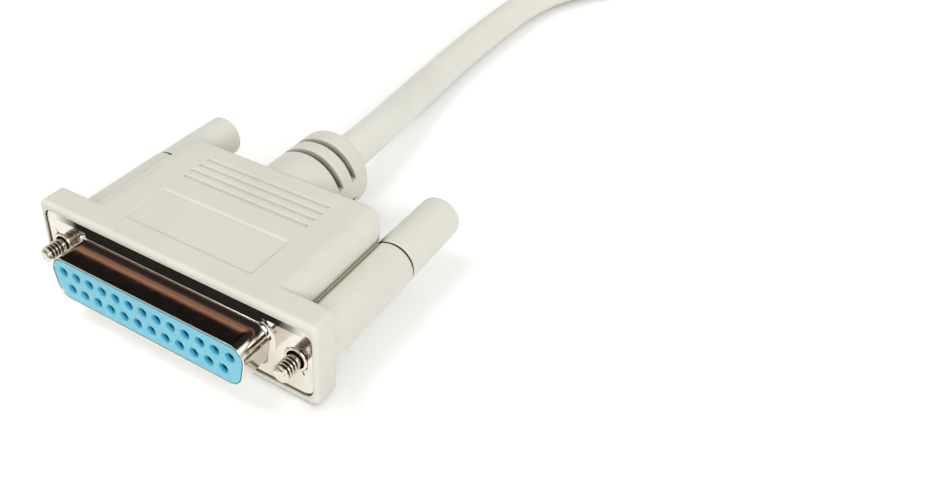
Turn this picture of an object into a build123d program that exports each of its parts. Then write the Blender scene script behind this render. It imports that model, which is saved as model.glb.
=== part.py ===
from build123d import *
import math
import os

# A 25-way subminiature D connector on a moulded data lead.
# The near end is a socket connector in an overmoulded hood with two thumbscrews.
# The lead runs back, is put away in a tied coil, and ends in the matching pin connector.
# Millimetres. X runs along the connector's width, Y from the mating face back to the
# cable, Z up. The origin is the centre of the contact pattern on the mating face.

# Contact pattern
top_count = 13
bottom_count = 12
contact_pitch = 2.77
row_gap = 2.84

# Metal shell
shell_side = 2.57
socket_shell_height = 7.90
mating_side_clearance = 0.29
mating_top_clearance = 0.23
shell_wall = 0.30
shell_slope = 10.0
shell_corner = 2.6
shell_reach = 6.17
root_flare = 0.9
plate_side = 7.33
plate_height = 12.55
plate_corner = 1.9
plate_thickness = 0.50
screw_inset = 3.0
rear_cup_side = 0.71
rear_cup_top = 1.05
rear_cup_corner = 2.2
rear_cup_wall = 0.40
rear_lip = 0.7

# Insulators
insulator_clearance = 0.02
front_collar = 1.93
rear_insulator_thickness = 2.60
mouth_radius = 0.82
throat_radius = 0.56
mouth_depth = 0.55
throat_depth = 0.45
cavity_clearance = 0.04

# Socket contacts and pins
socket_radius = 0.76
socket_bore = 0.52
socket_bore_depth = 6.0
pin_radius = 0.51
pin_recess = 0.6
pin_nose = 0.3
shoulder_radius = 1.05
shoulder_length = 0.86
shoulder_clearance = 0.02
tail_radius = 0.55
tail_length = 6.4
tail_hole_clearance = 0.05
cup_bore = 0.32
cup_depth = 1.1

# Eyelets that rivet the two shells together
eyelet_bore = 1.525
eyelet_wall = 0.30
eyelet_head_radius = 2.05
eyelet_head = 0.36
eyelet_hole_clearance = 0.02

# Hood, one moulding with its strain relief
hood_front = 5.80
flange_depth = 4.70
flange_rim_side = 0.88
flange_rim_top = 1.375
flange_corner = 1.2
flange_edge = 0.8
plate_pocket_clearance = 0.06
body_cover = 1.10
body_corner = 4.0
body_rear = 34.5
body_rear_corner = 3.6
body_rear_edge = 0.8
barrel_radius = 4.05
barrel_rear = 31.8
barrel_edge = 0.35
body_wall_side = 2.05
body_wall_top = 2.0
body_cavity_corner = 2.6
moulding_clearance = 0.04
label_width = 25.3
label_start = 10.4
label_end = 19.5
label_depth = 0.25
grip_first = 24.3
grip_pitch = 1.95
grip_count = 4
grip_width = 0.50
grip_depth = 0.30
fine_grip_first = 22.4
fine_grip_pitch = 1.25
fine_grip_count = 7
relief_radius = 7.40
relief_end = 50.2
relief_round = 0.9
relief_rooting = 2.4
slot_first = 41.20
slot_pitch = 3.95
slot_width = 1.35
slot_count = 2
slot_floor_radius = 4.5
web_height = 3.5

# Thumbscrews
screw_radius = 1.42
screw_tip = 2.10
screw_point = 0.35
screw_end = 44.0
thread_end = 5.50
screw_relief_radius = 1.20
screw_guide_clearance = 0.08
groove_radius = 1.0
groove_start = 8.15
groove_width = 0.70
ring_radius = 2.40
ring_thickness = 0.60
ring_gap = 1.2
ring_clearance = 0.05
ring_chamber_clearance = 0.25
thumbscrew_travel = 4.0
travel_end_clearance = 0.15
knob_radius = 3.95
knob_end_radius = 3.80
knob_gap = 0.40
knob_relief = 0.35
knob_end = 47.4
knob_round = 0.5
knob_front_edge = 0.25
knob_bore_clearance = 0.02
knob_slot_length = 5.4
knob_slot_width = 1.1
knob_slot_depth = 1.3

# Cable end inside the hood
cable_diameter = 7.0
cable_bore_clearance = 0.03
jacket_start = 31.0
crimp_start = 31.4
crimp_length = 5.0
crimp_wall = 0.70
crimp_clearance = 0.02
fan_wall_side = 1.45
fan_wall_top = 2.65
fan_corner = 1.5
fan_start_gap = 2.0
fan_end_radius = 3.30
wire_radius = 0.28
wire_grid = 0.95
wire_bend = 1.0
wire_straight = 1.2

# The lead, its put-away coil and the far connector
coil_centre = (-20.0, 205.2)
coil_inner = 36.35
coil_turn_pitch = 7.05
coil_columns = 2
coil_layers = 3
turn_inset = 0.02
top_turn_start = 48.0
top_turn_out = 262.0
top_turn_end = 315.0
tie_thickness = 0.5
tie_clearance = 0.02
tie_width = 9.0
tie_angle = 165.0
far_offset = (-22.0, 3.0)

# Sizes that follow from those above
socket_shell_width = (top_count - 1) * contact_pitch + 2 * shell_side
pin_shell_width = socket_shell_width + 2 * (shell_wall + mating_side_clearance)
pin_shell_height = socket_shell_height + 2 * (shell_wall + mating_top_clearance)
plate_width = socket_shell_width + 2 * plate_side
rear_cup_width = socket_shell_width + 2 * rear_cup_side
rear_cup_height = socket_shell_height + 2 * rear_cup_top
flange_width = plate_width + 2 * flange_rim_side
flange_height = plate_height + 2 * flange_rim_top
body_width = rear_cup_width + 2 * body_cover
body_cavity_width = body_width - 2 * body_wall_side
body_cavity_height = flange_height - 2 * body_wall_top
fan_width = body_cavity_width - 2 * fan_wall_side
fan_height = body_cavity_height - 2 * fan_wall_top
floor_z = -flange_height / 2
cable_radius = cable_diameter / 2
plate_front = shell_reach
plate_middle = plate_front + plate_thickness
plate_back = plate_middle + plate_thickness
collar_end = plate_middle + front_collar
insulator_end = collar_end + rear_insulator_thickness
cup_end = insulator_end + rear_cup_wall
tail_end = collar_end + tail_length
knob_front = barrel_rear + knob_gap
half_height = flange_height / 2
crimp_radius = cable_radius + crimp_clearance + crimp_wall
eyelet_radius = eyelet_bore + eyelet_wall
screw_x = plate_width / 2 - screw_inset
ring_start = groove_start + (groove_width - ring_thickness) / 2
chamber_end = ring_start + ring_thickness + thumbscrew_travel + travel_end_clearance


def slab(outline, start, end):
    """A flat outline in the XZ plane, given depth from start to end along Y."""
    return extrude(Plane.XZ.offset(-start) * outline, -(end - start))


def rod(radius, start, end):
    """A round bar along Y."""
    return slab(Circle(radius), start, end)


def turned(points):
    """A solid of revolution about Y from (radius, y) points."""
    profile = make_face(Polyline(*[(r, y) for r, y in points], close=True))
    return revolve(profile, Axis.Y)


def plate_outline(width, height, corner):
    return RectangleRounded(width, height, corner)


def d_outline(width, height, inset=0.0):
    """The D shape, wide side up, drawn in from its outer size by inset."""
    slope = math.radians(shell_slope)
    half_w = width / 2
    half_h = height / 2
    reach = shell_corner * (math.tan(slope) + 1 / math.cos(slope) - 1)
    top = half_w + reach
    bottom = top - height * math.tan(slope)
    outline = Polygon((-bottom, -half_h), (bottom, -half_h), (top, half_h), (-top, half_h), align=None)
    outline = fillet(outline.vertices(), shell_corner)
    return offset(outline, -inset) if inset else outline


def contact_places():
    """Centres of all contacts in the XZ plane, top row first, from left to right."""
    places = []
    for count, side in ((top_count, 1), (bottom_count, -1)):
        for k in range(count):
            places.append(((k - (count - 1) / 2) * contact_pitch, side * row_gap / 2))
    return places


def at_contacts(piece):
    """Copies of one piece at every contact place."""
    return [Pos(x, 0, z) * piece for x, z in contact_places()]


def both_sides(piece):
    """A piece at each of the two screw places."""
    return [Pos(side * screw_x, 0, 0) * piece for side in (-1, 1)]


def front_shell(width, height):
    """Drawn shell: the D tube and its mounting plate in one sheet."""
    tube = slab(d_outline(width, height), 0, plate_middle)
    plate = slab(plate_outline(plate_width, plate_height, plate_corner), plate_front, plate_middle)
    shell = tube + plate
    root = [e for e in shell.edges().filter_by_position(Axis.Y, plate_front - 0.01, plate_front + 0.01)
            if abs(e.center().X) < width / 2 + 0.5 and abs(e.center().Z) < height / 2 + 0.1]
    shell = fillet(root, root_flare)
    shell -= slab(d_outline(width, height, shell_wall), -1, plate_middle + 1)
    for hole in both_sides(rod(eyelet_radius + eyelet_hole_clearance, plate_front - 1, plate_middle + 1)):
        shell -= hole
    return shell


def rear_shell():
    """Second plate with the cup that holds the insulators, its lip turned in behind them."""
    cup = plate_outline(rear_cup_width, rear_cup_height, rear_cup_corner)
    inside = offset(cup, -rear_cup_wall)
    shell = slab(plate_outline(plate_width, plate_height, plate_corner), plate_middle, plate_back)
    shell += slab(cup, plate_middle, cup_end)
    shell -= slab(inside, plate_middle - 1, insulator_end)
    shell -= slab(offset(inside, -rear_lip), insulator_end - 1, cup_end + 1)
    for hole in both_sides(rod(eyelet_radius + eyelet_hole_clearance, plate_middle - 1, plate_back + 1)):
        shell -= hole
    return shell


def collar_outline():
    cup = plate_outline(rear_cup_width, rear_cup_height, rear_cup_corner)
    return offset(cup, -(rear_cup_wall + insulator_clearance))


def shoulder_pocket():
    pocket = shoulder_length + 2 * shoulder_clearance
    return rod(shoulder_radius + cavity_clearance, collar_end - pocket, collar_end + 1)


def front_insulator_socket():
    """Insulator that fills the socket shell, with a funnelled mouth at each contact."""
    block = slab(d_outline(socket_shell_width, socket_shell_height, shell_wall + insulator_clearance),
                 0, plate_middle)
    block += slab(collar_outline(), plate_middle, collar_end)
    throat_end = mouth_depth + throat_depth
    cavity = turned([(0, -1), (mouth_radius, -1), (mouth_radius, 0), (throat_radius, mouth_depth),
                     (throat_radius, throat_end), (socket_radius + cavity_clearance, throat_end),
                     (socket_radius + cavity_clearance, collar_end), (0, collar_end)])
    cavity += shoulder_pocket()
    return block - at_contacts(cavity)


def front_insulator_pin():
    """Insulator at the floor of the pin shell."""
    block = slab(d_outline(pin_shell_width, pin_shell_height, shell_wall + insulator_clearance),
                 plate_front, plate_middle)
    block += slab(collar_outline(), plate_middle, collar_end)
    hole = rod(pin_radius + cavity_clearance, plate_front - 1, collar_end) + shoulder_pocket()
    return block - at_contacts(hole)


def rear_insulator():
    block = slab(collar_outline(), collar_end, insulator_end)
    hole = rod(tail_radius + tail_hole_clearance, collar_end - 1, insulator_end + 1)
    return block - at_contacts(hole)


def tail_profile(front_points):
    """Turned contact: its own front, then the captive shoulder, the tail and the wire cup."""
    shoulder_front = collar_end - shoulder_clearance - shoulder_length
    front_radius = front_points[-1][0]
    return front_points + [
        (front_radius, shoulder_front), (shoulder_radius, shoulder_front),
        (shoulder_radius, collar_end - shoulder_clearance), (tail_radius, collar_end - shoulder_clearance),
        (tail_radius, tail_end), (cup_bore, tail_end), (cup_bore, tail_end - cup_depth),
        (0, tail_end - cup_depth)]


def socket_contact():
    start = mouth_depth + throat_depth + shoulder_clearance
    bore_end = start + socket_bore_depth
    return turned(tail_profile([(0, bore_end), (socket_bore, bore_end), (socket_bore, start),
                                (socket_radius, start)]))


def pin_contact():
    tip = pin_recess
    return turned(tail_profile([(0, tip), (pin_radius - pin_nose, tip), (pin_radius, tip + pin_nose)]))


def eyelet():
    """Rolled tube through both plates, with a rounded head on each side."""
    front = plate_front - eyelet_head
    back = plate_back + eyelet_head
    ease = eyelet_head / 2 - 0.02
    profile = make_face(Polyline(
        (eyelet_bore, front), (eyelet_head_radius, front), (eyelet_head_radius, plate_front),
        (eyelet_radius, plate_front), (eyelet_radius, plate_back), (eyelet_head_radius, plate_back),
        (eyelet_head_radius, back), (eyelet_bore, back), close=True))
    rims = [v for v in profile.vertices() if min(abs(v.Y - front), abs(v.Y - back)) < 1e-6]
    return revolve(fillet(rims, ease), Axis.Y)


def thumbscrew_bore():
    """Guide bore for the screw, with a wider chamber in front where the ring slides."""
    bore = rod(screw_radius + screw_guide_clearance, plate_back - 1, barrel_rear + 1)
    return bore + rod(ring_radius + ring_chamber_clearance, plate_back - 1, chamber_end)


def hood(first_grip, grip_step, grips):
    """Overmoulded hood: front flange, body, two barrels and the slotted strain relief."""
    flange = slab(plate_outline(flange_width, flange_height, flange_corner),
                  hood_front, hood_front + flange_depth)
    corners = [e for e in flange.edges().filter_by(GeomType.LINE).filter_by(Axis.Z)
               if e.center().Y < hood_front + 0.01]
    flange = fillet(corners, flange_edge)
    body_start = hood_front + flange_depth / 2
    relief = rod(relief_radius, body_rear - relief_rooting, relief_end)
    relief = fillet(relief.edges().sort_by(Axis.Y)[-1], relief_round)
    plan = Pos(0, (body_start + body_rear) / 2, 0) * Rectangle(body_width, body_rear - body_start)
    plan = fillet([v for v in plan.vertices() if v.Y > body_rear - 0.01], body_rear_corner)
    body = extrude(plan, half_height, both=True)
    rims = [e for e in body.edges()
            if abs(e.center().Z) > half_height - 0.01 and e.center().Y > body_start + 1]
    body = fillet(rims, body_rear_edge)
    body &= slab(plate_outline(body_width, flange_height, body_corner), body_start, body_rear)
    barrel = rod(barrel_radius, body_start, barrel_rear)
    barrel = fillet(barrel.edges().sort_by(Axis.Y)[-1], barrel_edge)
    solid = flange + body + relief + both_sides(barrel)

    pocket = plate_outline(plate_width + 2 * plate_pocket_clearance,
                           plate_height + 2 * plate_pocket_clearance, plate_corner)
    solid -= slab(pocket, hood_front - 1, plate_back)
    cup = offset(plate_outline(rear_cup_width, rear_cup_height, rear_cup_corner), moulding_clearance)
    solid -= slab(cup, plate_back - 1, cup_end)
    cavity = plate_outline(body_cavity_width, body_cavity_height, body_cavity_corner)
    solid -= slab(cavity, cup_end - 0.5, jacket_start)
    solid -= rod(crimp_radius + crimp_clearance, jacket_start - 1, crimp_start + crimp_length)
    solid -= rod(cable_radius + cable_bore_clearance, jacket_start, relief_end + 1)
    solid -= both_sides(thumbscrew_bore())
    solid -= both_sides(rod(knob_radius + knob_relief, barrel_rear, body_rear + 1))

    label = Box(label_width, label_end - label_start, 2 * label_depth)
    solid -= Pos(0, (label_start + label_end) / 2, half_height) * label
    groove = Box(label_width, grip_width, 2 * grip_depth)
    for k in range(grips):
        for side in (-1, 1):
            solid -= Pos(0, first_grip + k * grip_step, side * half_height) * groove

    ring = rod(relief_radius + 1, 0, slot_width) - rod(slot_floor_radius, -1, slot_width + 1)
    web = Box(4 * relief_radius, 4 * slot_width, web_height)
    ring -= web
    for k in range(slot_count):
        solid -= Pos(0, slot_first + k * slot_pitch, 0) * ring
    return solid


def inner_mould():
    """First shot behind the shells: it holds the contact tails and the fanned wires."""
    cavity = plate_outline(body_cavity_width, body_cavity_height, body_cavity_corner)
    block = slab(offset(cavity, -moulding_clearance), cup_end, jacket_start)
    fan_start = cup_end + fan_start_gap
    block -= at_contacts(rod(tail_radius + tail_hole_clearance, cup_end - 1, fan_start + 1))
    room = RectangleRounded(fan_width, fan_height, fan_corner)
    block -= slab(room, fan_start, tail_end + wire_straight)
    wide = Plane.XZ.offset(-tail_end - wire_straight) * room
    narrow = Plane.XZ.offset(-jacket_start) * Circle(fan_end_radius)
    return block - loft([wide, narrow])


def wires():
    """One wire from each contact's cup, gathered into the square bundle at the jacket."""
    columns = 5
    strands = []
    tops = [3, 2, 3, 2, 3]
    for count, side, rows in ((top_count, 1, tops), (bottom_count, -1, [columns - n for n in tops])):
        for k, (column, layer) in enumerate([(c, n) for c in range(columns) for n in range(rows[c])]):
            if k >= count:
                break
            start_x = (k - (count - 1) / 2) * contact_pitch
            end_x = (column - (columns - 1) / 2) * wire_grid
            end_z = side * (columns // 2 - layer) * wire_grid
            path = FilletPolyline(
                (start_x, tail_end - cup_depth, side * row_gap / 2),
                (start_x, tail_end + wire_straight, side * row_gap / 2),
                (end_x, jacket_start - wire_straight, end_z),
                (end_x, jacket_start, end_z), radius=wire_bend)
            section = Plane(origin=path @ 0, z_dir=path % 0) * Circle(wire_radius)
            strands.append(sweep(section, path=path))
    return Compound(children=strands)


def crimp_ferrule():
    """Ring crimped on the jacket where it enters the moulding."""
    outside = rod(crimp_radius, crimp_start, crimp_start + crimp_length)
    return outside - rod(cable_radius + crimp_clearance, crimp_start - 1, crimp_start + crimp_length + 1)


def retaining_ring():
    """Open ring in the screw's groove that keeps the thumbscrew captive."""
    ring = rod(ring_radius, ring_start, ring_start + ring_thickness)
    ring -= rod(groove_radius + ring_clearance, ring_start - 1, ring_start + ring_thickness + 1)
    return ring - Pos(0, ring_start + ring_thickness / 2, ring_radius) * Box(
        ring_gap, 2 * ring_thickness, 2 * ring_radius)


def thumbscrew_screw():
    return turned([
        (0, screw_tip), (screw_radius - screw_point, screw_tip), (screw_radius, screw_tip + screw_point),
        (screw_radius, thread_end), (screw_relief_radius, thread_end),
        (screw_relief_radius, groove_start), (groove_radius, groove_start),
        (groove_radius, groove_start + groove_width), (screw_radius, groove_start + groove_width),
        (screw_radius, screw_end), (0, screw_end)])


def thumbscrew_knob():
    bore = screw_radius + knob_bore_clearance
    profile = make_face(Polyline(
        (bore, knob_front), (knob_radius, knob_front), (knob_end_radius, knob_end), (0, knob_end),
        (0, screw_end), (bore, screw_end), close=True))
    outer = [v for v in profile.vertices() if v.X > knob_end_radius - 0.01]
    front = [v for v in outer if v.Y < knob_end - 1]
    profile = chamfer(front, knob_front_edge)
    back = [v for v in profile.vertices() if v.X > knob_end_radius - 0.01 and v.Y > knob_end - 0.01]
    knob = revolve(fillet(back, knob_round), Axis.Y)
    return knob - Pos(0, knob_end, 0) * Box(knob_slot_length, 2 * knob_slot_depth, knob_slot_width)


def connector_common():
    """Pieces that both ends of the lead share."""
    return {
        "rear_shell": rear_shell(),
        "rear_insulator": rear_insulator(),
        "inner_mould": inner_mould(),
        "wires": wires(),
        "crimp_ferrule": crimp_ferrule(),
    }


def route_radii(points):
    """Arc radius at each corner of a cord's route: 0.45 of the shorter run over tan(half turn)."""
    radii = []
    corners = [Vector(*p) for p in points]
    for before, here, after in zip(corners, corners[1:], corners[2:]):
        come = here - before
        go = after - here
        half_turn = math.radians(come.get_angle(go)) / 2
        radii.append(0.45 * min(come.length, go.length) / math.tan(half_turn))
    return radii


def cord_tube(points, name):
    radii = route_radii(points)
    path = FilletPolyline(*points, radius=radii)
    tube = sweep(Plane(origin=path @ 0, z_dir=path % 0) * Circle(cable_radius), path=path)
    section = math.pi * cable_radius ** 2
    print(name, "radii", [round(r, 1) for r in radii], "length", round(path.length, 1),
          "volume over section times length", round(tube.volume / section / path.length, 5))
    return tube


def lead_points():
    """The lead from inside the hood, down to the floor and into the coil."""
    lying = floor_z + cable_radius
    return [
        (0, jacket_start, 0), (0, 61.5, 0), (-5.3, 92, lying), (-6.3, 120, lying),
        (-5.6, 147, lying), (1.0, 163.0, lying + tie_thickness), (11.5, 174.6, lying + tie_thickness)]


def tail_points():
    """From the coil's top turn round to the far connector, which lies on the coil."""
    steps = [
        (31.2, -30.6, 0), (40.5, -16.8, 0.05), (43.8, -1.6, 0.5), (42.3, 13.0, 1.6), (35.1, 25.5, 3.5),
        (23.2, 33.8, 5.8), (9.0, 36.3, 8.0), (-4.9, 32.5, 9.8), (-15.9, 23.3, 10.8)]
    x0, y0 = coil_centre
    z0 = coil_height(coil_layers + 1) - cable_radius
    points = [(x0 + x, y0 + y, z0 + rise) for x, y, rise in steps]
    x1, y1 = x0 + far_offset[0], y0 + far_offset[1]
    return points + [(x1, y1 + 7.2, far_height()), (x1, y1 - (relief_end - jacket_start), far_height())]


def coil_height(layers):
    """Height of the top of that many layers of turns, lifted clear of the floor by the tie."""
    return floor_z + tie_thickness + cable_diameter + (layers - 1) * coil_turn_pitch


def far_height():
    return coil_height(coil_layers + 1) + half_height


def turn_section(columns, layers):
    """Hull round the cable's sections in those columns and layers of the wound bundle."""
    rounds = [Pos(coil_inner + c * coil_turn_pitch, coil_height(n + 1) - cable_radius) * Circle(cable_radius)
              for c in columns for n in layers]
    return make_face(make_hull([piece.edge() for piece in rounds]))


def wound(section, start, end):
    """A section carried round the coil's centre between two angles."""
    ring = revolve(Plane.XZ * section, Axis.Z, end - start)
    return Pos(*coil_centre, 0) * Rot(0, 0, start) * ring


def cord_coil():
    """Closed outer shape of the wound turns: a ring three high and two wide, and the last turn on it."""
    all_columns = range(coil_columns)
    upper = (coil_layers - 1, coil_layers)
    coil = wound(turn_section(all_columns, range(coil_layers)), 0, 360)
    last_turn = offset(turn_section((0,), upper), -turn_inset)
    last_quarter = offset(turn_section(all_columns, upper), -2 * turn_inset)
    coil += wound(last_turn, top_turn_start, top_turn_out)
    return coil + wound(last_quarter, top_turn_out - 1, top_turn_end)


def coil_tie():
    """Flat strap drawn tight round the bundle, with its underside on the floor."""
    bundle = turn_section(range(coil_columns), range(coil_layers)).faces()[0]
    last = turn_section((0,), (coil_layers - 1, coil_layers)).faces()[0]
    edges = [e for face in (bundle, last) for e in face.edges()]
    hull = make_face(make_hull(edges))
    strap = offset(hull, tie_thickness) - offset(hull, tie_clearance)
    half_angle = math.degrees(tie_width / 2 / (coil_inner + coil_turn_pitch / 2))
    return wound(strap, tie_angle - half_angle, tie_angle + half_angle)


def moved(parts, place, prefix):
    return {prefix + name: place * shape for name, shape in parts.items()}


def build():
    common = connector_common()
    near = dict(common)
    near["hood"] = hood(grip_first, grip_pitch, grip_count)
    near["front_shell"] = front_shell(socket_shell_width, socket_shell_height)
    near["front_insulator"] = front_insulator_socket()
    for k, contact in enumerate(at_contacts(socket_contact())):
        near[f"contact_{k + 1:02d}"] = contact
    near["eyelets"] = Compound(children=both_sides(eyelet()))
    moving = {
        "retaining_ring": retaining_ring(),
        "thumbscrew_screw": thumbscrew_screw(), "thumbscrew_knob": thumbscrew_knob()}
    for name, piece in moving.items():
        for side, copy in zip(("left", "right"), both_sides(piece)):
            near[f"{name}_{side}"] = copy

    far = dict(common)
    far["hood"] = hood(fine_grip_first, fine_grip_pitch, fine_grip_count)
    far["front_shell"] = front_shell(pin_shell_width, pin_shell_height)
    far["front_insulator"] = front_insulator_pin()
    far["pins"] = Compound(children=at_contacts(pin_contact()))
    far["eyelets"] = Compound(children=both_sides(eyelet()))
    for name, piece in moving.items():
        for side, copy in zip(("left", "right"), both_sides(piece)):
            far[f"{name}_{side}"] = copy

    x1 = coil_centre[0] + far_offset[0]
    y1 = coil_centre[1] + far_offset[1]
    place = Pos(x1, y1 - relief_end, far_height())
    parts = moved(near, Location(), "")
    parts.update(moved(far, place, "far_"))
    parts["cord_lead"] = cord_tube(lead_points(), "cord_lead")
    parts["cord_coil"] = cord_coil()
    parts["cord_tail"] = cord_tube(tail_points(), "cord_tail")
    parts["coil_tie"] = coil_tie()
    return parts


def write(parts):
    os.makedirs("parts", exist_ok=True)
    for name, shape in parts.items():
        export_step(shape, f"parts/{name}.step")


write(build())
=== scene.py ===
import math

import bmesh
import bpy
from mathutils import Matrix, Vector

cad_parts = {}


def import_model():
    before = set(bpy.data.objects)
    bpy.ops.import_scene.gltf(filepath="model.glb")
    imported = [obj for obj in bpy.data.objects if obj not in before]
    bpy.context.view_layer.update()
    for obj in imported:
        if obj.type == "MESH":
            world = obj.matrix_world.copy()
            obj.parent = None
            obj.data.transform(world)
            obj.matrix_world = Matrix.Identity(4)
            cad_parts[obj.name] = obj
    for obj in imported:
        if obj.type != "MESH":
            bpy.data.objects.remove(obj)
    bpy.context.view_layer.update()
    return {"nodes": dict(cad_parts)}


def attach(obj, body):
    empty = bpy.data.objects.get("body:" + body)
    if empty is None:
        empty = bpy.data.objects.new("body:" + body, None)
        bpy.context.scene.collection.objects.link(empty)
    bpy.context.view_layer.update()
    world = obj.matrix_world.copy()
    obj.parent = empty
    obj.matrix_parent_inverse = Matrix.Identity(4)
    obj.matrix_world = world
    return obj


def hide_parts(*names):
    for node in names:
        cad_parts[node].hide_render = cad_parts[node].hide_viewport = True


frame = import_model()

MM = 0.001
NODES = frame["nodes"]
WHITE = (1, 1, 1)

# Sizes shared with the solids, in millimetres
FLOOR = -7.65
PITCH = 2.77
ROW = 1.42
SCREW_X = 23.52
SHELL_SLOPE = math.radians(10)
SHELL_CORNER = 2.6
SHELL_TOP = 3.95
SHELL_REACH = 6.17
SOCKET_SHELL = (38.38, 7.90)
PIN_SHELL = (39.56, 8.96)
PLATE_SIZE = (53.04, 12.55)
PLATE_CORNER = 1.9
PLATE_MIDDLE = 6.67
PLATE_BACK = 7.17
INSULATOR_INSET = 0.32
COLLAR_SIZE = (38.96, 9.16)
COLLAR_CORNER = 1.78
COLLAR_BACK = 8.6
THREAD_CREST = 1.42
THREAD_ROOT = 0.98
THREAD_PITCH = 0.635
NECK_R = 1.20
RING_GROOVE_R = 1.0
SCREW_END = 44.0
KNOB_FRONT = 32.2
KNOB_END = 47.4
CORD_R = 3.5
FAR = Vector((-42.0, 158.0, 28.65))
COIL = (-20.0, 205.2)

# Steps round a corner of the D outline, and of the insulator's collar that it is joined to
CORNER_STEPS = 10

# The photograph's camera, fitted to the connector's known sizes, in millimetres and degrees
EYE = (83.67, -71.06, 96.59)
AZIMUTH, ELEVATION, ROLL = 34.65, 36.17, -0.29
SENSOR, LENS = 36.0, 36.72
SHIFT_X, SHIFT_Y = 0.1456, -0.0362


# Materials
class Nodes:
    """Small helper that adds shader nodes and links them."""

    def __init__(self, name):
        self.material = bpy.data.materials.new(name)
        self.material.use_nodes = True
        self.tree = self.material.node_tree
        self.shader = self.tree.nodes["Principled BSDF"]
        self.coords = self.add("ShaderNodeTexCoord").outputs["Object"]

    def add(self, kind, **values):
        """Adds a node. A value goes to its property of that name, or else to that input."""
        node = self.tree.nodes.new(kind)
        for key, value in values.items():
            if key in node.bl_rna.properties:
                setattr(node, key, value)
            else:
                node.inputs[key.replace("_", " ")].default_value = value
        return node

    def link(self, a, b):
        self.tree.links.new(a, b)

    def noise(self, scale, detail=3.0, roughness=0.5, distortion=0.0):
        node = self.add("ShaderNodeTexNoise", Scale=scale, Detail=detail, Roughness=roughness,
                        Distortion=distortion)
        self.link(self.coords, node.inputs["Vector"])
        return node.outputs["Fac"]

    def ramp(self, value, stops, colour=False):
        node = self.add("ShaderNodeValToRGB")
        elements = node.color_ramp.elements
        while len(elements) < len(stops):
            elements.new(0.5)
        for element, (at, tint) in zip(elements, stops):
            element.position = at
            element.color = (*tint, 1) if colour else (tint, tint, tint, 1)
        self.link(value, node.inputs["Fac"])
        return node.outputs["Color"]

    def mix(self, factor, a, b, blend="MIX"):
        node = self.add("ShaderNodeMix", data_type="RGBA", blend_type=blend)
        for key, value in ((0, factor), (6, a), (7, b)):
            if isinstance(value, bpy.types.NodeSocket):
                self.link(value, node.inputs[key])
            elif key == 0:
                node.inputs[key].default_value = value
            else:
                node.inputs[key].default_value = (*value, 1)
        return node.outputs[2]

    def crevice(self, distance, samples=6):
        node = self.add("ShaderNodeAmbientOcclusion", samples=samples, Distance=distance)
        return node.outputs["AO"]

    def bump(self, height, strength, distance, before=None):
        node = self.add("ShaderNodeBump", Strength=strength, Distance=distance)
        self.link(height, node.inputs["Height"])
        if before is not None:
            self.link(before, node.inputs["Normal"])
        return node.outputs["Normal"]

    def finish(self, colour, roughness, normal, **constants):
        for socket, value in (("Base Color", colour), ("Roughness", roughness), ("Normal", normal)):
            self.link(value, self.shader.inputs[socket])
        for key, value in constants.items():
            self.shader.inputs[key.replace("_", " ")].default_value = value
        return self.material


def vinyl(name, base, shade, grain=2600.0, grain_depth=0.00002):
    """Moulded or extruded vinyl: faint mottling, a fine grain, and dust with painted shade in its corners,
    grooves and slots.
    """
    dust_and_shade_reach, painted_shade_reach = 0.0006, 0.0022
    n = Nodes(name)
    cloud = n.noise(95.0, 4.0, 0.55)
    speck = n.noise(1500.0, 2.0, 0.6)
    tone = n.ramp(cloud, [(0.3, shade), (0.7, base)], True)
    specks = n.ramp(speck, [(0.66, WHITE), (0.80, (0.90, 0.88, 0.84))], True)
    tone = n.mix(0.35, tone, specks, "MULTIPLY")
    # Dust, and painted shade: narrow crevices and grooves darkened brown, where shade falls
    dust_and_shade = n.ramp(n.crevice(dust_and_shade_reach), [(0.42, (0.28, 0.21, 0.14)), (0.93, WHITE)], True)
    tone = n.mix(0.85, tone, dust_and_shade, "MULTIPLY")
    # Painted shade: the boot's slots, grooves and creases darkened to deep brown by how enclosed they are
    painted_crease_shade = [(0.20, (0.12, 0.075, 0.045)), (0.46, (0.46, 0.38, 0.29)), (0.64, WHITE)]
    tone = n.mix(1.0, tone, n.ramp(n.crevice(painted_shade_reach, 8), painted_crease_shade, True), "MULTIPLY")
    normal = n.bump(n.noise(340.0, 2.0, 0.5), 0.10, 0.00015)
    normal = n.bump(n.noise(grain, 3.0, 0.6), 0.35, grain_depth, normal)
    rough = n.ramp(n.noise(420.0, 3.0), [(0.25, 0.36), (0.75, 0.50)])
    return n.finish(tone, rough, normal, Specular_IOR_Level=0.45)


def nickel(name, base, rough_low, rough_high, stain=0.25, corner_shade_span=(0.10, 0.70)):
    """Bright metal: fine grain, soft waviness, specks, faint brown tarnish and painted shade darkening its
    corners.
    """
    corner_shade_reach = 0.0007
    n = Nodes(name)
    tarnish_tones = [(0.45, WHITE), (0.75, (0.78, 0.62, 0.43))]
    tarnish = n.ramp(n.noise(170.0, 5.0, 0.6, 0.6), tarnish_tones, True)
    colour = n.mix(stain, base, tarnish, "MULTIPLY")
    # Painted shade: corners and thread roots darkened brown-black by how enclosed they are
    painted_corner_shade = [(corner_shade_span[0], (0.10, 0.06, 0.04)), (corner_shade_span[1], WHITE)]
    colour = n.mix(0.95, colour, n.ramp(n.crevice(corner_shade_reach), painted_corner_shade, True), "MULTIPLY")
    waves = n.noise(260.0, 2.0, 0.5)
    grain = n.noise(2400.0, 3.0, 0.6)
    specks = n.noise(5200.0, 2.0, 0.5)
    normal = n.bump(waves, 0.22, 0.00005)
    normal = n.bump(grain, 0.12, 0.00001, normal)
    normal = n.bump(specks, 0.16, 0.00001, normal)
    rough = n.ramp(n.noise(700.0, 4.0, 0.65), [(0.3, rough_low), (0.75, rough_high)])
    return n.finish(colour, rough, normal, Metallic=1.0)


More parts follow.
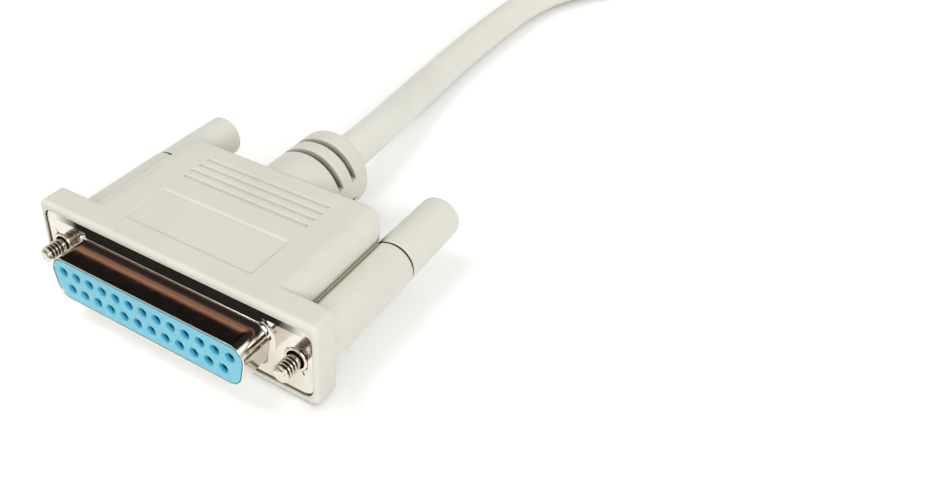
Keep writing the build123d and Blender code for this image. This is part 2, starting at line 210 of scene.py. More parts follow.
def moulded(name, base, shade, shade_in_hollows, reach=0.0006, rough=(0.22, 0.32), shine=0.40):
    """Hard moulded thermoplastic with a little flow mottling, painted shade down its holes, and duller
    there.
    """
    n = Nodes(name)
    tone = n.ramp(n.noise(330.0, 4.0, 0.6, 0.4), [(0.3, shade), (0.7, base)], True)
    open_sky = n.crevice(reach, 8)
    # Painted shade: holes and hollows tinted darker by how enclosed they are
    painted_hollow_shade = n.ramp(open_sky, shade_in_hollows, True)
    tone = n.mix(1.0, tone, painted_hollow_shade, "MULTIPLY")
    normal = n.bump(n.noise(1900.0, 3.0), 0.25, 0.000012)
    polished = n.ramp(n.noise(900.0, 2.0), [(0.3, rough[0]), (0.7, rough[1])])
    rubbed = n.ramp(open_sky, [(0.55, (0.7, 0.7, 0.7)), (0.95, (0, 0, 0))], True)
    roughness = n.mix(1.0, polished, rubbed, "ADD")
    return n.finish(tone, roughness, normal, Specular_IOR_Level=shine)


def strap_weave(name):
    """Woven strap: crossing ribs about half a millimetre apart, slightly faded."""
    n = Nodes(name)
    wave = n.add("ShaderNodeTexWave", Scale=620.0, Distortion=0.6)
    n.link(n.coords, wave.inputs["Vector"])
    cross = n.add("ShaderNodeTexWave", bands_direction="Z", Scale=500.0)
    n.link(n.coords, cross.inputs["Vector"])
    weave = n.mix(0.5, wave.outputs["Color"], cross.outputs["Color"], "MULTIPLY")
    tone = n.mix(weave, (0.020, 0.020, 0.021), (0.055, 0.054, 0.052))
    normal = n.bump(weave, 0.6, 0.0001)
    return n.finish(tone, n.ramp(n.noise(800.0), [(0.3, 0.7), (0.7, 0.9)]), normal)


VINYL = vinyl("hood_vinyl", (0.690, 0.687, 0.606), (0.658, 0.652, 0.570))
KNOB_VINYL = vinyl("knob_vinyl", (0.715, 0.713, 0.636), (0.685, 0.680, 0.600), 2300.0)
JACKET = vinyl("jacket_vinyl", (0.765, 0.763, 0.684), (0.730, 0.724, 0.642), 1800.0, 0.000015)
SHELL = nickel("shell_nickel", (0.68, 0.65, 0.59), 0.09, 0.16)
EYELET = nickel("eyelet_nickel", (0.74, 0.69, 0.60), 0.16, 0.28, 0.45)
SCREW = nickel("screw_nickel", (0.66, 0.60, 0.52), 0.16, 0.30, 0.5, (0.42, 0.80))
STEEL = nickel("spring_steel", (0.42, 0.42, 0.43), 0.25, 0.4)
BRASS = nickel("ferrule_brass", (0.72, 0.56, 0.28), 0.25, 0.4)
GOLD = nickel("contact_gold", (0.86, 0.66, 0.32), 0.14, 0.26)
# Painted shade down the insulator's mouths: navy deep in, teal on the funnel walls
HOLE_SHADE_TONES = [(0.36, (0.0, 0.03, 0.09)), (0.62, (0.0, 0.25, 0.41)), (0.93, (0.02, 0.52, 0.70)),
              (1.0, WHITE)]
# Painted shade, a soft grey, in the hollows of the other moulded parts
SOFT_SHADE_TONES = [(0.1, (0.4, 0.4, 0.38)), (0.7, WHITE)]
# Base and shaded tone of the insulators
BLUES = (0.228, 0.600, 0.725), (0.200, 0.555, 0.680)
BLUE = moulded("insulator_blue", *BLUES, HOLE_SHADE_TONES, 0.0011, shine=0.12)
PIN_BLUE = moulded("pin_floor_blue", *BLUES, SOFT_SHADE_TONES, shine=0.12)
INNER = moulded("inner_polyethylene", (0.62, 0.62, 0.57), (0.56, 0.56, 0.51), SOFT_SHADE_TONES, rough=(0.4, 0.5))
WIRE = moulded("wire_insulation", (0.42, 0.16, 0.10), (0.34, 0.12, 0.08), SOFT_SHADE_TONES, rough=(0.35, 0.5))
STRAP = strap_weave("tie_strap")


# Mesh helpers
def made(name, bm, material, body, replaces):
    """Turns a bmesh in millimetres into a piece that rides on a body."""
    bmesh.ops.remove_doubles(bm, verts=bm.verts, dist=0.0005)
    bmesh.ops.recalc_face_normals(bm, faces=bm.faces)
    bmesh.ops.scale(bm, vec=(MM, MM, MM), verts=bm.verts)
    mesh = bpy.data.meshes.new(name)
    bm.to_mesh(mesh)
    bm.free()
    for polygon in mesh.polygons:
        polygon.use_smooth = True
    mesh.materials.append(material)
    piece = bpy.data.objects.new(name, mesh)
    bpy.context.scene.collection.objects.link(piece)
    soften(piece)
    place_piece(piece, body, replaces)
    return piece


def soften(piece):
    """Weighted normals, so that flat faces shade flat and small rounds shade smooth."""
    modifier = piece.modifiers.new("soft edges", "WEIGHTED_NORMAL")
    modifier.weight = 80


def place_piece(piece, body, replaces):
    """Gives a piece its body and hides the CAD nodes that it stands for."""
    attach(piece, body)
    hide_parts(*replaces)


def bridge(bm, a, b):
    """Faces between two closed loops of equal count."""
    count = len(a)
    for k in range(count):
        bm.faces.new((a[k], a[(k + 1) % count], b[(k + 1) % count], b[k]))


def add_rings(bm, rings, close=False):
    """A skin through rings of equal count. Returns the loops of vertices."""
    loops = [[bm.verts.new(point) for point in ring] for ring in rings]
    for a, b in zip(loops, loops[1:]):
        bridge(bm, a, b)
    if close:
        bridge(bm, loops[-1], loops[0])
    return loops


def circle(r, y, x=0.0, z=0.0, count=48):
    """Points of a circle about a line along Y."""
    angles = [math.tau * k / count for k in range(count)]
    return [(x + r * math.cos(a), y, z + r * math.sin(a)) for a in angles]


def add_lathe(bm, profile, x=0.0, z=0.0, y=0.0, count=48, close=False, cap_first=False, cap_last=False):
    """Revolves (radius, y) points about a line along Y."""
    loops = add_rings(bm, [circle(r, y + at, x, z, count) for r, at in profile], close)
    for wanted, loop in ((cap_first, loops[0]), (cap_last, loops[-1])):
        if wanted:
            bm.faces.new(loop)
    return loops


def d_loop(width, height, inset, y):
    """The D outline at a depth, drawn in by inset, with the same count of points for any inset."""
    r = SHELL_CORNER
    lean = SHELL_SLOPE
    half = height / 2
    reach = r * (math.tan(lean) + 1 / math.cos(lean) - 1)
    top_x = width / 2 + reach - r * (math.tan(lean) + 1 / math.cos(lean))
    bottom_x = top_x - (height - 2 * r) * math.tan(lean)
    corners = [
        (top_x, half - r, -lean, math.pi / 2),
        (-top_x, half - r, math.pi / 2, math.pi + lean),
        (-bottom_x, -half + r, math.pi + lean, 1.5 * math.pi),
        (bottom_x, -half + r, -math.pi / 2, -lean),
    ]
    points = []
    for cx, cz, start, end in corners:
        for k in range(CORNER_STEPS + 1):
            a = start + (end - start) * k / CORNER_STEPS
            points.append((cx + (r - inset) * math.cos(a), y, cz + (r - inset) * math.sin(a)))
    return points


def rounded_loop(width, height, corner, inset, y, steps=8):
    """A rounded rectangle at a depth, drawn in by inset."""
    points = []
    w, h = width / 2 - corner, height / 2 - corner
    for cx, cz, start in ((w, h, 0), (-w, h, 90), (-w, -h, 180), (w, -h, 270)):
        for k in range(steps + 1):
            a = math.radians(start + 90 * k / steps)
            points.append((cx + (corner - inset) * math.cos(a), y, cz + (corner - inset) * math.sin(a)))
    return points


def fill_between(bm, loops):
    """Fills the flat region bounded by an outer loop and any inner loops."""
    edges = []
    for loop in loops:
        count = len(loop)
        for k in range(count):
            a, b = loop[k], loop[(k + 1) % count]
            edges.append(bm.edges.get((a, b)) or bm.edges.new((a, b)))
    bmesh.ops.triangle_fill(bm, use_beauty=True, use_dissolve=False, edges=edges)


def edge_round(radius):
    """(inset, depth) pairs of a quarter round at an outer front edge, from the face to the wall."""
    steps = 4
    angles = [math.pi / 2 * k / steps for k in range(steps + 1)]
    return [(radius * (1 - math.sin(a)), radius * (1 - math.cos(a))) for a in angles]


def contact_places():
    """(x, z) of the 25 contacts, the wide row of 13 first."""
    places = []
    for count, z in ((13, ROW), (12, -ROW)):
        for k in range(count):
            places.append(((k - (count - 1) / 2) * PITCH, z))
    return places


def shift(bm, offset):
    """Moves a bmesh from the near connector's frame to its place."""
    if any(offset):
        bmesh.ops.translate(bm, vec=offset, verts=bm.verts)


def screw_line(offset, side):
    """Where a screw's centre line meets the connector's mating face."""
    return Vector(offset) + Vector((side * SCREW_X, 0, 0))


# Pieces of one connector
def front_shell(name, size, offset, node):
    """Drawn shell and its plate in one sheet, with rounded free edge and flared root."""
    bm = bmesh.new()
    wall, flare, lip = 0.30, 0.9, 0.14
    lip_steps, flare_steps = 8, 6
    hole_r, hole_mouth_r, hole_ease = 1.85, 1.87, 0.05
    rings = [d_loop(*size, wall, PLATE_MIDDLE)]
    rings.append(d_loop(*size, wall, lip))
    for k in range(1, lip_steps):
        a = math.pi * k / lip_steps
        rings.append(d_loop(*size, wall / 2 + wall / 2 * math.cos(a), lip - lip * math.sin(a)))
    rings.append(d_loop(*size, 0, lip))
    rings.append(d_loop(*size, 0, SHELL_REACH - flare))
    for k in range(1, flare_steps + 1):
        a = math.pi / 2 * k / flare_steps
        depth = SHELL_REACH - flare + flare * math.sin(a)
        rings.append(d_loop(*size, -flare * (1 - math.cos(a)), depth))
    sleeve = add_rings(bm, rings)
    outer = [rounded_loop(*PLATE_SIZE, PLATE_CORNER, inset, SHELL_REACH + depth)
             for inset, depth in edge_round(0.12)]
    outer.append(rounded_loop(*PLATE_SIZE, PLATE_CORNER, 0, PLATE_MIDDLE))
    edge = add_rings(bm, outer)
    hole = [(hole_mouth_r, SHELL_REACH), (hole_r, SHELL_REACH + hole_ease), (hole_r, PLATE_MIDDLE)]
    holes = [add_lathe(bm, hole, side * SCREW_X, count=40) for side in (-1, 1)]
    fill_between(bm, [edge[0], sleeve[-1]] + [h[0] for h in holes])
    fill_between(bm, [edge[-1], sleeve[0]] + [h[-1] for h in holes])
    shift(bm, offset)
    return made(name, bm, SHELL, "connector", [node])


def insulator(name, size, front, round_r, profile, material, offset, node):
    """Insulator from its front face to the back of its collar, with one lathe profile per contact."""
    bm = bmesh.new()
    rings = [d_loop(*size, INSULATOR_INSET + extra, front + depth) for extra, depth in edge_round(round_r)]
    rings.append(d_loop(*size, INSULATOR_INSET, PLATE_MIDDLE))
    for depth in (PLATE_MIDDLE, COLLAR_BACK):
        rings.append(rounded_loop(*COLLAR_SIZE, COLLAR_CORNER, 0, depth, CORNER_STEPS))
    body = add_rings(bm, rings)
    cells = [add_lathe(bm, profile, x, z, front, count=28) for x, z in contact_places()]
    fill_between(bm, [body[0]] + [cell[0] for cell in cells])
    fill_between(bm, [body[-1]] + [cell[-1] for cell in cells])
    shift(bm, offset)
    return made(name, bm, material, "connector", [node])


def socket_face(name, offset, node):
    """Blue insulator with a funnelled mouth for each contact."""
    profile = [(0.89, 0.0), (0.87, 0.015), (0.85, 0.05), (0.77, 0.18), (0.65, 0.34), (0.57, 0.45),
               (0.53, 0.50), (0.52, 0.58), (0.52, 1.0), (0.80, 1.02), (0.80, COLLAR_BACK)]
    return insulator(name, SOCKET_SHELL, 0.0, 0.15, profile, BLUE, offset, node)


def pin_floor(name, offset, node):
    """Insulator at the floor of the pin shell, with a raised ring round each pin."""
    profile = [(0.95, 0.0), (0.92, 0.04), (0.80, 0.06), (0.62, 0.06), (0.55, 0.12), (0.55, 2.43)]
    return insulator(name, PIN_SHELL, SHELL_REACH, 0.1, profile, PIN_BLUE, offset, node)


CONTACT_TAIL = [(1.03, 7.74), (1.03, 8.56), (0.55, 8.6), (0.55, 14.9), (0.50, 15.0), (0.34, 15.0),
                (0.32, 14.95), (0.32, 13.9)]


def socket_contacts(offset):
    """Each socket contact: a spring barrel with a rounded mouth, shoulder and wire cup."""
    inside = [(0.001, 7.0), (0.52, 6.9), (0.52, 1.25), (0.55, 1.06)]
    outside = [(0.58, 1.02), (0.72, 1.08), (0.76, 1.2), (0.76, 7.7)]
    for k, (x, z) in enumerate(contact_places()):
        bm = bmesh.new()
        add_lathe(bm, inside + outside + CONTACT_TAIL, x, z, count=24, cap_last=True)
        shift(bm, offset)
        name = "contact_%02d" % (k + 1)
        made("socket_" + name, bm, GOLD, "connector", [name])


def pin_contacts(offset):
    """All pins of one connector as one piece: rounded nose, pin, shoulder and wire cup."""
    bm = bmesh.new()
    pin = [(0.12, 0.6), (0.30, 0.66), (0.44, 0.80), (0.50, 1.0), (0.51, 1.3), (0.51, 7.7)]
    for x, z in contact_places():
        add_lathe(bm, pin + CONTACT_TAIL, x, z, count=24, cap_first=True, cap_last=True)
    shift(bm, offset)
    return made("far_pin_set", bm, GOLD, "connector", ["far_pins"])


def eyelets(name, offset, node):
    """Rolled rivet tubes: domed heads with a turned-in lip on both faces of the plates."""
    bm = bmesh.new()
    front = [(1.56, 5.98), (1.58, 5.93), (1.66, 5.90), (1.76, 5.91), (1.88, 5.95), (1.97, 6.02),
             (2.00, 6.10), (2.03, SHELL_REACH)]
    tube = [(1.83, SHELL_REACH), (1.83, PLATE_BACK)]
    back = [(2.03, PLATE_BACK), (2.04, 7.28), (1.98, 7.42), (1.84, 7.50), (1.64, 7.52), (1.54, 7.46),
            (1.53, 7.36)]
    for side in (-1, 1):
        add_lathe(bm, front + tube + back, side * SCREW_X, count=48, close=True)
    shift(bm, offset)
    return made(name, bm, EYELET, "connector", [node])


def thread_radius(turn):
    """Radius of a flat-crested V thread at a place along its pitch, counted in turns."""
    root_flat, flank = 0.16, 0.66
    wave = abs(2 * (turn % 1.0) - 1)
    rise = min(1.0, max(0.0, (wave - root_flat) / flank))
    return THREAD_ROOT + (THREAD_CREST - THREAD_ROOT) * rise


def screw(name, side, offset, node, body):
    """4-40 screw: blunt tapered tip, rolled thread in front, groove for its ring and a plain shank."""
    bm = bmesh.new()
    count, steps = 32, 12
    tip_r, tip_bevel, thread_bevel = 0.55, 0.02, 0.08
    start, run_out, fade_length = 2.1, 5.5, 0.3
    taper_start, taper_length = 0.58, 0.8
    rows = int((run_out - start) / THREAD_PITCH * steps)
    rings = [circle(tip_r, start + tip_bevel, count=count)]
    for row in range(rows + 1):
        y = start + thread_bevel + (run_out - start - thread_bevel) * row / rows
        taper = min(1.0, taper_start + (y - start) / taper_length)
        fade = min(1.0, max(0.0, (run_out - y) / fade_length))
        ring = []
        for k in range(count):
            a = math.tau * k / count
            r = thread_radius(y / THREAD_PITCH - k / count)
            r = r * fade + NECK_R * (1 - fade)
            r = min(r, THREAD_CREST * taper)
            ring.append((r * math.cos(a), y, r * math.sin(a)))
        rings.append(ring)
    shank = [(NECK_R, 5.6), (NECK_R, 8.14), (RING_GROOVE_R, 8.16), (RING_GROOVE_R, 8.84),
             (THREAD_CREST, 8.86), (THREAD_CREST, SCREW_END)]
    rings += [circle(r, y, count=count) for r, y in shank]
    loops = add_rings(bm, rings)
    bm.faces.new(loops[0])
    bm.faces.new(loops[-1])
    shift(bm, screw_line(offset, side))
    return made(name, bm, SCREW, body, [node])


def knob(name, side, offset, node, body):
    """Moulded knob, slightly tapered, with a screwdriver slot across its rounded end."""
    bm = bmesh.new()
    count = 64
    bore_r = 1.44
    slot_size = (5.4, 2.6, 1.1)
    front = [(1.46, KNOB_FRONT), (3.68, KNOB_FRONT), (3.82, KNOB_FRONT + 0.04),
             (3.92, KNOB_FRONT + 0.14), (3.95, KNOB_FRONT + 0.30), (3.93, KNOB_FRONT + 3)]
    middle = [(3.88, 40.0), (3.82, 45.5)]
    end = [(3.80, KNOB_END - 0.55), (3.76, KNOB_END - 0.32), (3.64, KNOB_END - 0.14),
           (3.46, KNOB_END - 0.03), (3.25, KNOB_END), (2.2, KNOB_END), (1.0, KNOB_END)]
    loops = add_lathe(bm, front + middle + end, count=count)
    bm.faces.new(loops[-1])
    bore = add_lathe(bm, [(bore_r, KNOB_FRONT), (bore_r, SCREW_END)], count=count)
    bridge(bm, bore[0], loops[0])
    bm.faces.new(bore[-1])
    shift(bm, screw_line(offset, side))
    piece = made(name, bm, KNOB_VINYL, body, [node])
    cutter = bmesh.new()
    bmesh.ops.create_cube(cutter, size=1.0)
    bmesh.ops.scale(cutter, vec=slot_size, verts=cutter.verts)
    slot_place = Vector(offset) + Vector((side * SCREW_X, KNOB_END, 0))
    bmesh.ops.translate(cutter, vec=slot_place, verts=cutter.verts)
    carve(piece, cutter)
    return piece


def carve(piece, cutter_bm):
    """Cuts a bmesh, in millimetres, out of a piece that made() has returned."""
    bmesh.ops.scale(cutter_bm, vec=(MM, MM, MM), verts=cutter_bm.verts)
    mesh = bpy.data.meshes.new("cutter")
    cutter_bm.to_mesh(mesh)
    cutter_bm.free()
    cutter = bpy.data.objects.new("cutter", mesh)
    bpy.context.scene.collection.objects.link(cutter)
    cut = piece.modifiers.new("cut", "BOOLEAN")
    cut.operation = "DIFFERENCE"
    cut.solver = "EXACT"
    cut.object = cutter
    piece.modifiers.move(1, 0)
    apply_modifiers(piece)
    bpy.data.objects.remove(cutter)
    bpy.data.meshes.remove(mesh)
    soften(piece)


def apply_modifiers(piece):
    """Gives a piece the mesh that its modifiers make, under the piece's own name."""
    evaluated = piece.evaluated_get(bpy.context.evaluated_depsgraph_get())
    mesh = bpy.data.meshes.new_from_object(evaluated)
    piece.modifiers.clear()
    old = piece.data
    piece.data = mesh
    mesh.name = piece.name
    bpy.data.meshes.remove(old)
    return mesh


def hood(name, node, voxel, smooth_steps, share):
    """The hood's solid, remeshed fine and eased so that its edges are as soft as a moulding's."""
    piece = bpy.data.objects.new(name, NODES[node].data.copy())
    bpy.context.scene.collection.objects.link(piece)
    remesh = piece.modifiers.new("remesh", "REMESH")
    remesh.mode = "VOXEL"
    remesh.voxel_size = voxel * MM
    remesh.use_smooth_shade = True
    ease = piece.modifiers.new("ease", "SMOOTH")
    ease.factor = 0.5
    ease.iterations = smooth_steps
    thin = piece.modifiers.new("thin", "DECIMATE")
    thin.ratio = share
    mesh = apply_modifiers(piece)
    for polygon in mesh.polygons:
        polygon.use_smooth = True
    mesh.materials.clear()
    mesh.materials.append(VINYL)
    place_piece(piece, "connector", [node])
    return piece


def retaining_ring(name, side, offset, node, body):
    """Open spring ring of round-edged section, its gap upward."""
    bm = bmesh.new()
    count = 40
    half_gap, middle_r = 0.6, 1.7
    gap = math.asin(half_gap / middle_r)
    section = [(1.05, 8.22), (1.07, 8.2), (2.36, 8.2), (2.40, 8.24), (2.40, 8.76), (2.36, 8.8),
               (1.07, 8.8), (1.05, 8.78)]
    rings = []
    for k in range(count + 1):
        a = math.pi / 2 + gap + (math.tau - 2 * gap) * k / count
        c, s = math.cos(a), math.sin(a)
        rings.append([(r * c, y, r * s) for r, y in section])
    loops = add_rings(bm, rings)
    bm.faces.new(loops[0])
    bm.faces.new(loops[-1])
    shift(bm, screw_line(offset, side))
    return made(name, bm, STEEL, body, [node])


def dress(node, material):
    """Gives a CAD node that stays a material of this script."""
    for slot in NODES[node].material_slots:
        slot.material = material


def connector(prefix, offset):
    """All visible and inner pieces of one end of the lead."""
    if prefix:
        front_shell("far_pin_shell", PIN_SHELL, offset, "far_front_shell")
        pin_floor("far_pin_insulator", offset, "far_front_insulator")
        pin_contacts(offset)
        hood("far_hood_skin", "far_hood", 0.30, 2, 0.60)
    else:
        front_shell("socket_shell", SOCKET_SHELL, offset, "front_shell")
        socket_face("socket_insulator", offset, "front_insulator")
        socket_contacts(offset)
        voxel, share = ((0.13, 0.145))
        hood("hood_skin", "hood", voxel, 1, share)
    eyelets(prefix + "rolled_eyelets", offset, prefix + "eyelets")
    for side, word in ((-1, "left"), (1, "right")):
        turning = prefix + "thumbscrew_" + word
        screw(prefix + "jackscrew_" + word, side, offset, prefix + "thumbscrew_screw_" + word, turning)
        knob(prefix + "grip_knob_" + word, side, offset, prefix + "thumbscrew_knob_" + word, turning)
        retaining_ring(prefix + "snap_ring_" + word, side, offset, prefix + "retaining_ring_" + word,
                       prefix + "screw_float_" + word)
    dress(prefix + "rear_shell", SHELL)
    dress(prefix + "rear_insulator", BLUE)
    dress(prefix + "inner_mould", INNER)
    dress(prefix + "crimp_ferrule", BRASS)
    dress(prefix + "wires", WIRE)


connector("", Vector((0, 0, 0)))
connector("far_", FAR)


# The lead
def eased(t):
    """Goes smoothly from 0 to 1 as t does, and stays there beyond."""
    t = min(1.0, max(0.0, t))
    return t * t * (3 - 2 * t)


def coil_points():
    """Seven turns, two abreast and up to four high, as centre points of the cable."""
    outer, inner, pitch, lift = 43.4, 36.35, 7.05, 0.5
    cells = [(outer, 0), (inner, 0), (inner, 1), (outer, 1), (outer, 2), (inner, 2), (inner, 3)]
    turns, per_turn, first_angle, stretch = len(cells), 16, -45, 1.0097
    # A turn passes to its next cell over window degrees, and later turns do so sooner
    lag, window = 23.0, 70.0
    # The last turn swings out again before the cable leaves the coil
    last_swing, last_window = 285, 90
    points = []
    for k in range((turns - 1) * per_turn + 1):
        angle = 360.0 * k / per_turn
        turn = min(int(angle // 360), turns - 2)
        into = angle - 360.0 * turn
        s = eased((into - lag * (turns - 1 - turn)) / window) if k < (turns - 1) * per_turn else 1.0
        (r0, l0), (r1, l1) = cells[turn], cells[turn + 1]
        swing = eased((angle - ((turns - 2) * 360 + last_swing)) / last_window)
        r = r0 + (r1 - r0) * s + (outer - inner) * swing
        z = FLOOR + lift + CORD_R + pitch * (l0 + (l1 - l0) * s)
        a = math.radians(angle + first_angle)
        points.append((COIL[0] + stretch * r * math.cos(a), COIL[1] + stretch * r * math.sin(a), z))
    return points


# Centre points before the coil, and after it as measured from the coil's middle
LEAD = [(0, 31, 0), (0, 61.5, 0), (-5.3, 92, -4.15), (-6.3, 120, -4.15), (-5.6, 147, -4.15),
        (1.0, 163.0, -3.65)]
TAIL = [(40.5, -16.8, 17.55), (43.8, -1.6, 18.0), (42.3, 13.0, 19.1), (35.1, 25.5, 21.0),
        (23.2, 33.8, 23.3), (9.0, 36.3, 25.5), (-4.9, 32.5, 27.3), (-15.9, 23.3, 28.3),
        (-22, 10.2, 28.65), (-22, -3, 28.65), (-22, -16.2, 28.65)]


def cord():
    """The whole cable as one tube, from inside the near hood through the coil to the far one."""
    points = LEAD + coil_points() + [(COIL[0] + x, COIL[1] + y, z) for x, y, z in TAIL]
    curve = bpy.data.curves.new("lead_cord", "CURVE")
    curve.dimensions = "3D"
    curve.bevel_depth = CORD_R * MM
    curve.bevel_resolution = 8
    curve.resolution_u = 6
    curve.use_fill_caps = True
    spline = curve.splines.new("NURBS")
    spline.points.add(len(points) - 1)
    for point, at in zip(spline.points, points):
        point.co = (*(c * MM for c in at), 1)
    spline.order_u = 3
    spline.use_endpoint_u = True
    spline.use_smooth = True
    curve.materials.append(JACKET)
    piece = bpy.data.objects.new("lead_cord", curve)
    bpy.context.scene.collection.objects.link(piece)
    place_piece(piece, "connector", ["cord_lead", "cord_coil", "cord_tail"])
    return piece


cord()
dress("coil_tie", STRAP)


# Stage, light and camera
def seen_directly(tree):
    """One for camera, glossy and transmission rays, and nought for the rays that light the object."""
    path = tree.nodes.new("ShaderNodeLightPath")
    total = path.outputs["Is Camera Ray"]
    for name in ("Is Glossy Ray", "Is Transmission Ray"):
        join = tree.nodes.new("ShaderNodeMath")
        join.operation = "MAXIMUM"
        tree.links.new(total, join.inputs[0])
        tree.links.new(path.outputs[name], join.inputs[1])
        total = join.outputs[0]
    return total


def floor():
    """Plain pale floor that reads as white to the camera and to reflections, and keeps the shadow."""
    half, clearance = 1.5, 0.0001
    near, near_glow, rim, rim_glow = 0.35, 0.25, 0.95, 0.75
    mirrored_glow = 0.50
    bm = bmesh.new()
    corners = [(-half, -half, 0), (half, -half, 0), (half, half, 0), (-half, half, 0)]
    bm.faces.new([bm.verts.new(p) for p in corners])
    mesh = bpy.data.meshes.new("studio_floor")
    bm.to_mesh(mesh)
    bm.free()
    n = Nodes("studio_floor")
    n.shader.inputs["Base Color"].default_value = (0.8, 0.8, 0.79, 1)
    n.shader.inputs["Roughness"].default_value = 0.9
    n.shader.inputs["Specular IOR Level"].default_value = 0.0
    glow = n.add("ShaderNodeEmission", Color=(*WHITE, 1))
    away = n.add("ShaderNodeVectorMath", operation="LENGTH")
    n.link(n.coords, away.inputs[0])
    level = n.ramp(away.outputs["Value"], [(near, near_glow), (rim, rim_glow)])
    path = n.add("ShaderNodeLightPath")
    strength = n.add("ShaderNodeMix", data_type="FLOAT")
    n.link(path.outputs["Is Camera Ray"], strength.inputs["Factor"])
    strength.inputs["A"].default_value = mirrored_glow
    n.link(level, strength.inputs["B"])
    n.link(strength.outputs["Result"], glow.inputs["Strength"])
    lit = n.add("ShaderNodeAddShader")
    n.link(n.shader.outputs[0], lit.inputs[0])
    n.link(glow.outputs[0], lit.inputs[1])
    switch = n.add("ShaderNodeMixShader")
    n.link(seen_directly(n.tree), switch.inputs[0])
    n.link(n.shader.outputs[0], switch.inputs[1])
    n.link(lit.outputs[0], switch.inputs[2])
    n.link(switch.outputs[0], n.tree.nodes["Material Output"].inputs["Surface"])
    mesh.materials.append(n.material)
    piece = bpy.data.objects.new("studio_floor", mesh)
    bpy.context.scene.collection.objects.link(piece)
    piece.location.z = FLOOR * MM - clearance


def world():
    """Soft light all round, which the camera and reflections see as white."""
    soft_light = 0.48
    w = bpy.data.worlds.new("studio")
    bpy.context.scene.world = w
    w.use_nodes = True
    tree = w.node_tree
    back = tree.nodes["Background"]
    back.inputs["Color"].default_value = (1.0, 0.985, 0.96, 1)
    back.inputs["Strength"].default_value = soft_light
    white = tree.nodes.new("ShaderNodeBackground")
    white.inputs["Color"].default_value = (*WHITE, 1)
    white.inputs["Strength"].default_value = 1.0
    mix = tree.nodes.new("ShaderNodeMixShader")
    tree.links.new(seen_directly(tree), mix.inputs[0])
    tree.links.new(back.outputs[0], mix.inputs[1])
    tree.links.new(white.outputs[0], mix.inputs[2])
    tree.links.new(mix.outputs[0], tree.nodes["World Output"].inputs["Surface"])


def lamp(name, place, side, power):
    """Square lamp, aimed at the connector's middle."""
    aim = Vector((0, 0.04, 0))
    light = bpy.data.lights.new(name, "AREA")
    light.shape = "RECTANGLE"
    light.size = side
    light.size_y = side
    light.energy = power
    piece = bpy.data.objects.new(name, light)
    bpy.context.scene.collection.objects.link(piece)
    piece.location = place
    piece.rotation_euler = (aim - Vector(place)).to_track_quat("-Z", "Y").to_euler()


def card(name, corners, strips, veil=None):
    """A studio card that only reflections see.

    Strips are (position, colour) up it, and veil is (position, cover) along it.
    """
    mesh = bpy.data.meshes.new(name)
    mesh.from_pydata([tuple(c * MM for c in corner) for corner in corners], [], [(0, 1, 2, 3)])
    uv = mesh.uv_layers.new(name="across")
    for loop, at in zip(uv.data, ((0, 0), (1, 0), (1, 1), (0, 1))):
        loop.uv = at
    n = Nodes(name)
    coords = n.add("ShaderNodeTexCoord")
    split = n.add("ShaderNodeSeparateXYZ")
    n.link(coords.outputs["UV"], split.inputs[0])
    colour = n.ramp(split.outputs["Y"], strips, True)
    glow = n.add("ShaderNodeEmission")
    n.link(colour, glow.inputs["Color"])
    surface = glow
    if veil:
        surface = n.add("ShaderNodeMixShader")
        n.link(n.ramp(split.outputs["X"], veil), surface.inputs[0])
        n.link(n.add("ShaderNodeBsdfTransparent").outputs[0], surface.inputs[1])
        n.link(glow.outputs[0], surface.inputs[2])
    n.link(surface.outputs[0], n.tree.nodes["Material Output"].inputs["Surface"])
    mesh.materials.append(n.material)
    piece = bpy.data.objects.new(name, mesh)
    bpy.context.scene.collection.objects.link(piece)
    for kind in ("camera", "diffuse", "transmission", "volume_scatter", "shadow"):
        setattr(piece, "visible_" + kind, False)


def mirrored_eye(*planes):
    """The camera's place mirrored in planes, each an axis number and a level in millimetres."""
    eye = Vector(EYE)
    for axis, level in planes:
        eye[axis] = 2 * level - eye[axis]
    return eye


def mirror_card(name, eye, corners, reach, strips):
    """A card whose reflection fills the given corners of a flat metal face."""
    card(name, [eye + reach * (Vector(corner) - eye) for corner in corners], strips)


def even(tone):
    """Strips of one tone from a card's foot to its top."""
    return [(0.0, tone), (1.0, tone)]


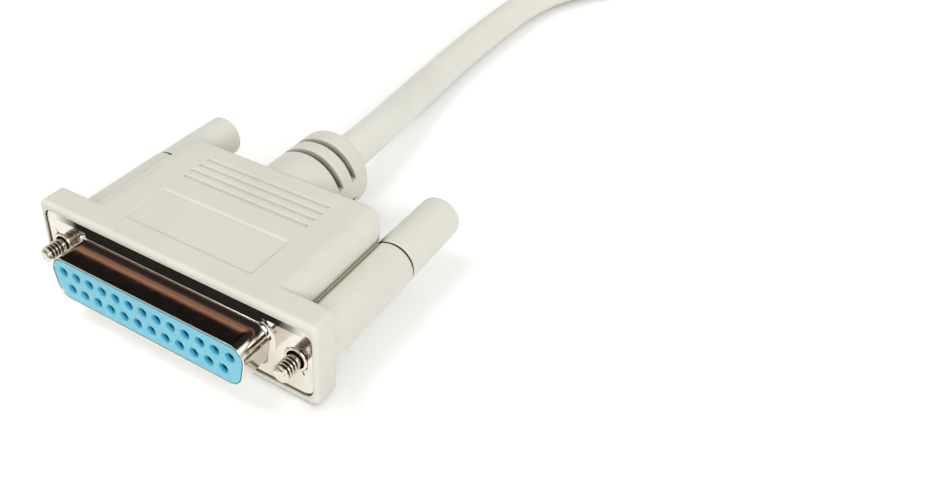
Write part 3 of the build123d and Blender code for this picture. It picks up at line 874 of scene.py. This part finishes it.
def flags():
    """Dark flags, a soft box and warm strips, placed so that the bright plating reflects the
    dark and brown bands that the photograph shows."""
    black, dim = (0.012, 0.010, 0.009), (0.030, 0.025, 0.022)
    brown, umber = (0.46, 0.24, 0.155), (0.12, 0.06, 0.04)
    painted_highlight_white = (1.7, 1.66, 1.6)
    top, plate = SHELL_TOP, SHELL_REACH
    mirror_card("flag_over", mirrored_eye((2, top)),
                [(-34, -6, top), (34, -6, top), (34, 7, top), (-34, 7, top)], 1.45, even(black))
    mirror_card("flag_left", mirrored_eye((2, top), (1, plate)),
                [(-60, -16, top), (40, -16, top), (40, 26, top), (-60, 26, top)], 3.0, even(black))
    card("flag_back", [(-620, 260, 60), (225, 260, 60), (225, 230, 560), (-620, 230, 560)], even(dim))
    card("flag_roof", [(-620, -190, 520), (225, -190, 520), (225, 230, 560), (-620, 230, 560)], even(dim))
    card("flag_front", [(100, -1500, 150), (1900, -700, 150), (1500, -500, 1900), (-300, -1300, 1900)],
         even(dim))
    card("flag_right", [(240, -260, -4), (360, -40, -4), (360, -40, 110), (240, -260, 110)], even(dim))
    # A glowing card that only reflections see: a painted highlight on the shell's rounded corner
    card("painted_highlight_card", [(235, 240, 150), (380, 240, 150), (380, 240, 330), (235, 240, 330)],
         even(painted_highlight_white))
    # Dim card just above the floor in front of the face, seen only in reflections: a painted dark
    # reflection of that floor
    card("painted_dark_floor_reflection", [(-70, -32, -7.2), (12, -32, -7.2), (12, -8.5, -7.2), (-70, -8.5, -7.2)], even(dim))
    # Glowing strips that only reflections see, just in front of the plate and the hood's lip: a painted
    # dark and brown reflection along the shell's top
    card("painted_plate_reflection", [(-25, 5.76, 4.2), (25, 5.76, 4.2), (25, 5.76, 6.25), (-25, 5.76, 6.25)],
         [(0.0, dim), (0.58, dim), (0.80, umber), (1.0, brown)], [(0.0, 0), (0.10, 1), (0.90, 1), (1.0, 0)])
    card("painted_lip_reflection", [(-25, 5.74, 6.25), (17.5, 5.74, 6.25), (17.5, 5.74, 7.62), (-25, 5.74, 7.62)],
         [(0.0, umber), (0.3, brown), (0.7, brown), (1.0, umber)], [(0.93, 1), (1.0, 0)])
    # Dark end of that painted reflection, towards the shell's right corner
    card("painted_dark_corner_reflection", [(15, 5.75, 6.25), (22, 5.75, 6.25), (22, 5.75, 7.62), (15, 5.75, 7.62)], even(dim))


def camera():
    """The photograph's camera: place, turn and lens were fitted to the connector's known sizes."""
    azimuth, elevation, roll = (math.radians(a) for a in (AZIMUTH, ELEVATION, ROLL))
    back = Vector((math.sin(azimuth) * math.cos(elevation), -math.cos(azimuth) * math.cos(elevation),
                   math.sin(elevation)))
    right = Vector((math.cos(azimuth), math.sin(azimuth), 0))
    up = back.cross(right)
    turned_right = right * math.cos(roll) + up * math.sin(roll)
    turned_up = up * math.cos(roll) - right * math.sin(roll)
    data = bpy.data.cameras.new("photo_camera")
    data.sensor_width = SENSOR
    data.lens = LENS
    data.shift_x = SHIFT_X
    data.shift_y = SHIFT_Y
    data.clip_start = 0.01
    piece = bpy.data.objects.new("photo_camera", data)
    bpy.context.scene.collection.objects.link(piece)
    pose = Matrix((turned_right, turned_up, back)).transposed().to_4x4()
    pose.translation = Vector(EYE) * MM
    piece.matrix_world = pose
    bpy.context.scene.camera = piece


floor()
world()
flags()
lamp("key_light", (-0.45, -0.15, 1.05), 0.5, 4.45)
lamp("fill_light", (0.85, -0.75, 0.75), 0.7, 11.7)
camera()
bpy.context.scene.view_settings.view_transform = "Standard"
